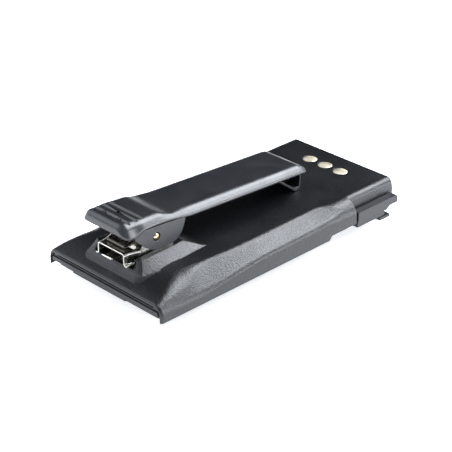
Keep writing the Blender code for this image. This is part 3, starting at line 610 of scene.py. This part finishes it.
def cover_outline():
    wide = HALF_WIDTH - WALL - GAP
    narrow = LEDGE_HALF_WIDTH - WALL - GAP
    near = NEAR_Y + WALL + GAP
    far = FAR_Y - WALL - GAP
    right = arc((wide - 2.5, near + 2.5), 2.5, 270, 360, 10)
    right += [(wide, LEDGE_Y - 2.0), (narrow, LEDGE_Y - 2.0)]
    right += arc((narrow - 1.0, far - 1.0), 1.0, 0, 90, 6)
    return mirrored(right)


def cover_solids(side):
    """Hook, rail, web and riser on one side of the cover."""
    solids = []
    low, high = sorted((side * 20.95, side * 22.4))
    solids.append(block("hook_leg", (low, 50.7, 0.5), (high, 55.6, 6.0)))
    low, high = sorted((side * 20.8, side * 24.2))
    solids.append(block("hook_foot", (low, 52.2, 0.0), (high, 57.4, 1.1)))
    outline = [(LEDGE_Y + 1.0, 6.4), (50.6, 6.4), (52.6, 7.6), (56.7, 7.6), (56.7, 9.6),
               (55.9, 10.5), (LEDGE_Y + 1.0, 10.5)]
    low, high = sorted((side * (LEDGE_HALF_WIDTH + GAP), side * HALF_WIDTH))
    solids.append(prism("rail", outline, "YZ", low, high))
    low, high = sorted((side * 20.0, side * (HALF_WIDTH - 0.6)))
    solids.append(block("rail_web", (low, LEDGE_Y + 1.4, 4.4), (high, 50.3, 6.2)))
    low, high = sorted((side * (LEDGE_HALF_WIDTH + 0.7), side * (HALF_WIDTH - 0.9)))
    solids.append(block("rail_riser", (low, LEDGE_Y + 1.8, 5.5), (high, 50.0, 8.0)))
    return solids


def make_cover(materials):
    bay_low, bay_high = (-19.0, -46.6, 0.0), (19.0, 43.4, SKIRT_Z + 0.6)
    plate = prism("cover_shell", cover_outline(), "XY", SKIRT_Z, SKIRT_Z + 1.4)
    bay = round_edges(block("cell_bay", bay_low, bay_high), 1.2, 4)
    rim = prism("rim_block", mouth_outline(1.0), "XZ", NEAR_Y + 0.2, NEAR_Y + 2.6)
    underside = block("rim_underside", (-30, NEAR_Y - 1, 0.0), (30, NEAR_Y + 6, SKIRT_Z + 1.9))
    rebate = block("rim_rebate", (-30, NEAR_Y - 1, 8.45), (30, NEAR_Y + 0.7, 12.0))
    combine(rim, [underside], "DIFFERENCE")
    combine(rim, [rebate], "DIFFERENCE")
    tongue = block("rim_tongue", (-15.5, NEAR_Y + 0.25, SKIRT_Z + 1.05), (10.5, NEAR_Y + 4.0, 8.0))
    combine(plate, [bay, rim, tongue] + cover_solids(-1) + cover_solids(1), "UNION")
    cuts = [block("bay_cavity", (bay_low[0] + 1.2, bay_low[1] + 1.2, 1.2),
                  (bay_high[0] - 1.2, bay_high[1] - 1.2, 20.0)),
            block("label_recess", (-15.3, -38.3, -1.0), (15.3, 35.3, 0.6))]
    for i in (-1, 0, 1):
        cuts.append(block("blade_window", (i * 9.0 - 2.3, 45.9, 3.0), (i * 9.0 + 2.3, 51.5, 9.0)))
    combine(plate, cuts, "DIFFERENCE")
    weld(plate, 0.02)
    round_edges(plate, 0.18, 2, 32.0, clamp=True)
    shade(plate)
    return finish_piece(plate, "pack", ["inner_cover"], materials["cover"])


# ---------------------------------------------------------------- clip arm

def arm_heights(y):
    """Top and bottom of the clip arm at y."""
    pad_top = 31.15 - (y + 40.3) * 0.07
    arm_top = 29.25 - (y + 34.0) * 0.055
    blend = smooth_step(y, -41.5, -34.5)
    under = 25.9 - (y + 24.5) * 0.055
    lift = 1.15 * smooth_step(-y, 27.0, 36.5)
    nose = 1.6 * smooth_step(-y, 48.0, 53.0)
    return pad_top * (1 - blend) + arm_top * blend, under + lift - nose


def arm_ring(y, top, bottom, half_width, lean):
    """Section of the arm: a flat top, leaning rounded sides and a crisp lower edge."""
    low = min(0.35, (top - bottom) * 0.12)
    lean = min(lean, (top - bottom) * 0.75)
    corners = [(0.0, top), (half_width - lean, top), (half_width, bottom + low * 2.6), (half_width, bottom)]
    right = [Vector(corners[0])] + round_corner(*corners[:3], 3.4, 9) + round_corner(*corners[1:], 3.0, 7)
    right += [Vector((half_width - low * 0.4, bottom)), Vector((0.0, bottom))]
    left = [Vector((-p.x, p.y)) for p in reversed(right[1:-1])]
    return [(p.x, y, p.y) for p in right + left]


def arm_rings():
    near, far = ARM_LOW.y, ARM_HIGH.y
    stations = [near + 2.4 * (1 - math.cos(math.radians(a))) for a in range(0, 91, 9)]
    y = stations[-1]
    while y < -27.0:
        y += 0.75
        stations.append(y)
    stations += [-22.0, -15.0, -8.0, 0.0, 8.0, 15.0, 20.0]
    stations += [far - 4.0 + 4.0 * math.sin(math.radians(a)) for a in range(0, 91, 9)]
    rings = []
    for y in stations:
        top, bottom = arm_heights(y)
        top -= quarter(y - near, 2.4) * 0.95 + quarter(far - y, 4.0) * 0.66
        bottom += quarter(y - near, 2.4) * 0.75 + quarter(far - y, 1.0) * 0.3
        half_width = ARM_HALF_WIDTH + PAD_FLARE * (1 - smooth_step(y, -52.0, -42.0))
        half_width -= quarter(y - near, 2.7) + quarter(far - y, 1.7)
        rings.append(arm_ring(y, top, bottom, half_width, 1.9))
    return rings


def grip_groove(low, high, row):
    """V-shaped groove across the thumb pad, with sloping ends."""
    top = arm_heights(row)[0]
    half, depth, rise = 0.68, 0.8, 0.5
    ring = [(row - half - 0.5, top + rise), (row, top - depth), (row + half + 0.4, top + rise)]
    start = [(low - 0.2, y, z) for y, z in ring]
    end = [(high, y, z) for y, z in ring]
    return loft("grip_groove", [start, end])


def make_arm(materials):
    arm = loft("clip_arm_moulding", arm_rings())
    inner, outer = 8.9, ARM_HALF_WIDTH - 0.12
    cheek = [(-53.0, 28.5), (-52.4, 26.2), (-51.0, 24.6), (-47.3, 21.4), (-45.0, 20.0), (-42.2, 19.45),
             (-37.4, 19.4), (-34.6, 19.9), (-32.2, 22.0), (-30.9, 25.0), (-30.4, 27.0)]
    solids = []
    for side in (-1, 1):
        low, high = sorted((side * inner, side * outer))
        solids.append(prism("cheek", cheek, "YZ", low, high))
    foot = [(14.0, 24.0), (15.8, 22.2), (23.6, 16.4), (24.4, 15.7), (26.4, 15.7), (27.1, 16.6),
            (27.6, 19.5), (27.2, 23.5)]
    solids.append(prism("arm_foot", foot, "YZ", -7.6, 7.6))
    combine(arm, solids, "UNION")
    rows = (((-8.2, 8.2),), ((-8.4, -0.7), (0.7, 8.4)), ((-9.2, -4.1), (-3.1, 3.1), (4.1, 9.2)))
    cuts = []
    for row, spans in zip((-47.3, -50.0, -53.1), rows):
        for low, high in spans:
            cuts.append(grip_groove(low, high, row))
    cuts.append(rod("cheek_bore", (0, PIN_Y, PIN_Z), PIN_RADIUS + 0.22, 30.0, "X", 48))
    pocket = [(16.6, 22.6), (24.0, 17.1), (26.3, 17.0), (26.8, 19.6), (26.4, 22.6)]
    for side in (-1, 1):
        low, high = sorted((side * 2.6, side * 8.2))
        cuts.append(prism("foot_pocket", pocket, "YZ", low, high))
    combine(arm, cuts, "DIFFERENCE")
    weld(arm, 0.02)
    round_edges(arm, 0.16, 2, 34.0, clamp=False)
    shade(arm)
    return finish_piece(arm, "clip_arm", ["clip_arm"], materials["clip"])


# ---------------------------------------------------------------- metal parts of the clip

def hat_profile(half_width, top, inset):
    """Half of the bracket's bent sheet, from the middle of its top to the tip of its foot."""
    bend = 1.0
    curl = 0.75
    foot_z = 16.2
    path = [(0.0, top - inset)]
    path += arc((half_width - bend, top - bend), bend - inset, 90, 0, 8)
    path += arc((half_width + curl, foot_z + curl), curl + inset, 180, 262, 8)
    path += [(half_width + curl + 0.35, foot_z - inset)]
    return path


def make_bracket(materials):
    sheet = 0.5
    top = 20.3
    near, far = BRACKET_LOW.y, BRACKET_HIGH.y
    rings = []
    for y, half_width in ((near, 6.45), (near + 2.0, 6.6), (near + 3.6, 6.9), (near + 4.8, 7.3), (near + 6.0, 7.6),
                          (near + 7.0, 7.7), (-42.0, 7.7), (far, 7.7)):
        outer = hat_profile(half_width, top, 0.0)
        inner = hat_profile(half_width, top, sheet)
        ring = [(-x, z) for x, z in reversed(outer[1:])] + outer
        ring += list(reversed(inner[1:])) + [inner[0]] + [(-x, z) for x, z in inner[1:]]
        rings.append([(x, y, z) for x, z in ring])
    bracket = loft("bracket_channel", rings)
    ears = []
    for side in (-1, 1):
        outline = [(-48.2, 18.4)] + list(reversed(arc((PIN_Y, PIN_Z), 2.4, 30, 150, 17))) + [(-39.4, 18.4)]
        low, high = sorted((side * 7.25, side * (7.25 + sheet - 0.1)))
        ears.append(prism("ear", outline, "YZ", low, high))
    tab = [(3.6, 20.1), (6.2, 20.1), (6.3, 20.9), (5.9, 21.9), (5.3, 22.1), (4.6, 21.2)]
    ears.append(prism("bent_up_tab", tab, "XZ", -49.0, -48.6))
    combine(bracket, ears, "UNION")
    cuts = [rod("ear_bore", (0, PIN_Y, PIN_Z), PIN_RADIUS + 0.1, 30.0, "X", 48),
            block("tab_window", (2.9, -50.9, 18.0), (6.0, -49.0, 22.0))]
    combine(bracket, cuts, "DIFFERENCE")
    weld(bracket, 0.01)
    round_edges(bracket, 0.09, 2, 34.0, clamp=False)
    shade(bracket)
    return finish_piece(bracket, "clip_base", ["clip_bracket"], materials["nickel"])


def make_leaf(materials):
    """Spring leaf under the channel, with a turned-up lip in front and a catch below."""
    thick = 0.45
    centre_line = [(-55.85, 17.75), (-55.55, 17.42), (-55.1, 17.25), (-54.4, 17.12), (-51.0, 16.98),
                   (-47.0, 16.85), (-44.0, 17.2), (-41.0, 17.8), (-37.5, 18.45)]
    upper, lower = [], []
    for i, here in enumerate(centre_line):
        before = Vector(centre_line[max(i - 1, 0)])
        after = Vector(centre_line[min(i + 1, len(centre_line) - 1)])
        run = (after - before).normalized()
        across = Vector((-run.y, run.x)) * thick / 2
        upper.append(tuple(Vector(here) + across))
        lower.append(tuple(Vector(here) - across))
    leaf = prism("latch_leaf_spring", upper + lower[::-1], "YZ", -2.4, 2.4)
    catch = block("catch_block", (-1.6, -46.2, LEAF_LOW.z), (1.6, -44.4, 17.0))
    combine(leaf, [catch], "UNION")
    weld(leaf, 0.01)
    round_edges(leaf, 0.12, 3, 40.0)
    shade(leaf)
    return finish_piece(leaf, "clip_latch", ["clip_latch_leaf"], materials["leaf"])


def make_pin(materials):
    """Hinge pin with its ends domed over."""
    half = PIN_HIGH.x
    radius = PIN_RADIUS
    dome = 0.75
    profile = [(0.0, half)] + [(radius * math.sin(math.radians(a)), half - dome * (1 - math.cos(math.radians(a))))
                               for a in range(10, 91, 10)]
    profile += [(r, -h) for r, h in reversed(profile)]
    pin = turned("hinge_pin_riveted", profile, (0, PIN_Y, PIN_Z), (1, 0, 0))
    shade(pin)
    return finish_piece(pin, "clip_base", ["clip_hinge_pin"], materials["pin"])


def spring_half(side):
    wire = 0.35
    turns = 4
    coil_radius = 2.2
    outer_x = 7.3 - 2 * wire
    steps = 24
    top = PIN_Z + coil_radius
    points = [(side * outer_x, -49.6, top + 0.3), (side * outer_x, -46.0, top + 0.1)]
    last = 360 * turns + 170
    count = round(last / 360 * steps)
    for i in range(count + 1):
        angle = math.radians(last * i / count)
        x = side * (outer_x - (2 * wire + 0.12) * angle / (2 * math.pi))
        points.append((x, PIN_Y + coil_radius * math.sin(angle), PIN_Z + coil_radius * math.cos(angle)))
    points += [(side * 3.4, -47.3, 21.8), (side * 4.5, -50.9, 21.25), (side * 4.4, -51.5, 21.15)]
    return points


def tube(name, points, radius, resolution=3):
    """A round wire through points, as a mesh."""
    curve = bpy.data.curves.new(name, "CURVE")
    curve.dimensions = "3D"
    curve.bevel_depth = radius * MM
    curve.bevel_resolution = resolution
    curve.use_fill_caps = True
    spline = curve.splines.new("POLY")
    spline.points.add(len(points) - 1)
    for point, place in zip(spline.points, points):
        point.co = (*(Vector(place) * MM), 1.0)
    drawing = bpy.data.objects.new(name + "_line", curve)
    bpy.context.scene.collection.objects.link(drawing)
    bpy.context.view_layer.update()
    mesh = bpy.data.meshes.new_from_object(drawing.evaluated_get(bpy.context.evaluated_depsgraph_get()))
    bpy.data.objects.remove(drawing, do_unlink=True)
    obj = bpy.data.objects.new(name, mesh)
    bpy.context.scene.collection.objects.link(obj)
    weld(obj, 0.001)
    obj.data.shade_smooth()
    obj.data.set_sharp_from_angle(angle=math.radians(50))
    return obj


def make_spring(materials):
    points = spring_half(-1) + list(reversed(spring_half(1)))
    spring = tube("torsion_spring_wire", points, 0.35, 4)
    spring.data.materials.clear()
    spring.data.materials.append(materials["spring"])
    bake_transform(spring)
    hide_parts("clip_torsion_spring")
    return spring


def make_wrap(materials):
    """Fine wire wound close round the spring's cross bar."""
    start, end = -4.1, 4.1
    pitch = 0.46
    turns = (end - start) / pitch
    count = round(turns * 12)
    points = []
    for i in range(count + 1):
        angle = 2 * math.pi * turns * i / count
        x = start + (end - start) * i / count
        points.append((x, -51.5 + 0.46 * math.sin(angle), 21.15 + 0.46 * math.cos(angle)))
    wrap = tube("cross_bar_winding", points, 0.14, 2)
    return finish_piece(wrap, "clip_base", [], materials["winding"])


# ---------------------------------------------------------------- contacts

def make_charge_contacts(materials):
    for name in ("left", "middle", "right"):
        node = "charge_contact_" + name
        low, high = node_box(node)
        radius = (high.x - low.x) / 2
        top = high.z
        profile = [(0.0, top), (radius - 0.45, top), (radius - 0.2, top - 0.05), (radius - 0.05, top - 0.18),
                   (radius, top - 0.4), (radius, top - 1.3), (1.0, top - 1.3), (1.0, low.z), (0.0, low.z)]
        centre = ((low.x + high.x) / 2, (low.y + high.y) / 2, 0)
        disc = turned("gold_disc_" + name, profile, centre, (0, 0, 1))
        shade(disc)
        finish_piece(disc, "pack", [node], materials["gold"])


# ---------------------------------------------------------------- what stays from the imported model

def repaint_inside(materials):
    """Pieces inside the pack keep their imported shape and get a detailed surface."""
    looks = {
        "cell_front": "cell", "cell_rear": "cell", "foam_pad_front": "foam", "foam_pad_rear": "foam",
        "series_strip": "strip", "positive_strip": "strip", "negative_lead": "black_lead",
        "balance_lead": "red_lead", "protection_board": "board", "mosfet_pair": "chip",
        "protection_controller": "chip", "thermal_fuse": "chip", "thermistor": "chip",
        "radio_contact_left": "gold", "radio_contact_middle": "gold", "radio_contact_right": "gold",
        "blank_label": "label",
    }
    for node, look in looks.items():
        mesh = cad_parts[node].data
        mesh.materials.clear()
        mesh.materials.append(materials[look])


# ---------------------------------------------------------------- camera, light and floor

LOOK_AT = Vector((1.69, -3.69, 10.1))
CAMERA_PLACE = Vector((330.20, -326.62, 254.78))
LENS = 120.7


def make_camera():
    data = bpy.data.cameras.new("camera")
    data.lens = LENS
    data.sensor_width = 36.0
    data.clip_start = 0.01
    data.clip_end = 20.0
    camera = bpy.data.objects.new("camera", data)
    camera.location = CAMERA_PLACE * MM
    camera.rotation_mode = "QUATERNION"
    camera.rotation_quaternion = (LOOK_AT - CAMERA_PLACE).to_track_quat("-Z", "Y")
    bpy.context.scene.collection.objects.link(camera)
    bpy.context.scene.camera = camera


def area_light(name, direction, distance, size, power, colour=(1.0, 1.0, 1.0)):
    """A soft box that looks at the object from a direction, all in metres and watts."""
    data = bpy.data.lights.new(name, "AREA")
    data.shape = "RECTANGLE"
    data.size, data.size_y = size
    data.energy = power
    data.color = colour
    light = bpy.data.objects.new(name, data)
    light.location = Vector(direction).normalized() * distance
    light.rotation_mode = "QUATERNION"
    light.rotation_quaternion = (-light.location).to_track_quat("-Z", "Y")
    bpy.context.scene.collection.objects.link(light)
    return light


def make_world():
    """Pale surroundings that darken towards the back left, where the flat faces reflect them."""
    world = bpy.data.worlds.new("studio")
    world.use_nodes = True
    tree = world.node_tree
    direction = tree.nodes.new("ShaderNodeTexCoord").outputs["Generated"]
    facing = tree.nodes.new("ShaderNodeVectorMath")
    facing.operation = "DOT_PRODUCT"
    tree.links.new(direction, facing.inputs[0])
    facing.inputs[1].default_value = Vector((-0.60, 0.60, 0.53)).normalized()
    strength = tree.nodes.new("ShaderNodeMapRange")
    strength.inputs["From Min"].default_value = 0.35
    strength.inputs["From Max"].default_value = 0.86
    strength.inputs["To Min"].default_value = 0.55
    strength.inputs["To Max"].default_value = 0.03
    tree.links.new(facing.outputs["Value"], strength.inputs["Value"])
    background = tree.nodes["Background"]
    background.inputs["Color"].default_value = (0.90, 0.94, 1.0, 1.0)
    tree.links.new(strength.outputs["Result"], background.inputs["Strength"])
    bpy.context.scene.world = world


def make_floor():
    """White light table: it glows a little, so that it stays white under the object."""
    bpy.ops.mesh.primitive_plane_add(size=6.0, location=(0, 0, 0))
    floor = bpy.context.object
    floor.name = "studio_floor"
    nodes = Nodes("floor_paper")
    cloud = nodes.noise(40.0, 2.0)
    nodes.put(nodes.shader, "Base Color", nodes.blend(cloud, (0.90, 0.90, 0.90), (0.93, 0.93, 0.93)))
    nodes.shader.inputs["Roughness"].default_value = 0.9
    nodes.shader.inputs["Emission Color"].default_value = (0.97, 0.985, 1.0, 1.0)
    nodes.shader.inputs["Emission Strength"].default_value = 0.74
    floor.data.materials.append(nodes.material)


def make_studio():
    bpy.context.scene.view_settings.view_transform = "Standard"
    make_world()
    make_floor()
    area_light("key_softbox", (0.22, 0.66, 0.72), 1.1, (0.95, 0.62), 26.5, (0.90, 0.94, 1.0))
    area_light("right_softbox", (0.76, 0.62, 0.10), 1.3, (0.6, 0.35), 11.0, (0.90, 0.94, 1.0))
    area_light("left_softbox", (-0.62, -0.47, 0.55), 1.2, (1.3, 1.0), 9.0, (0.88, 0.94, 1.0))


def main():
    make_camera()
    make_studio()
    materials = make_materials()
    make_housing(materials)
    make_cover(materials)
    make_arm(materials)
    make_bracket(materials)
    make_leaf(materials)
    make_pin(materials)
    make_spring(materials)
    make_wrap(materials)
    make_charge_contacts(materials)
    repaint_inside(materials)


main()
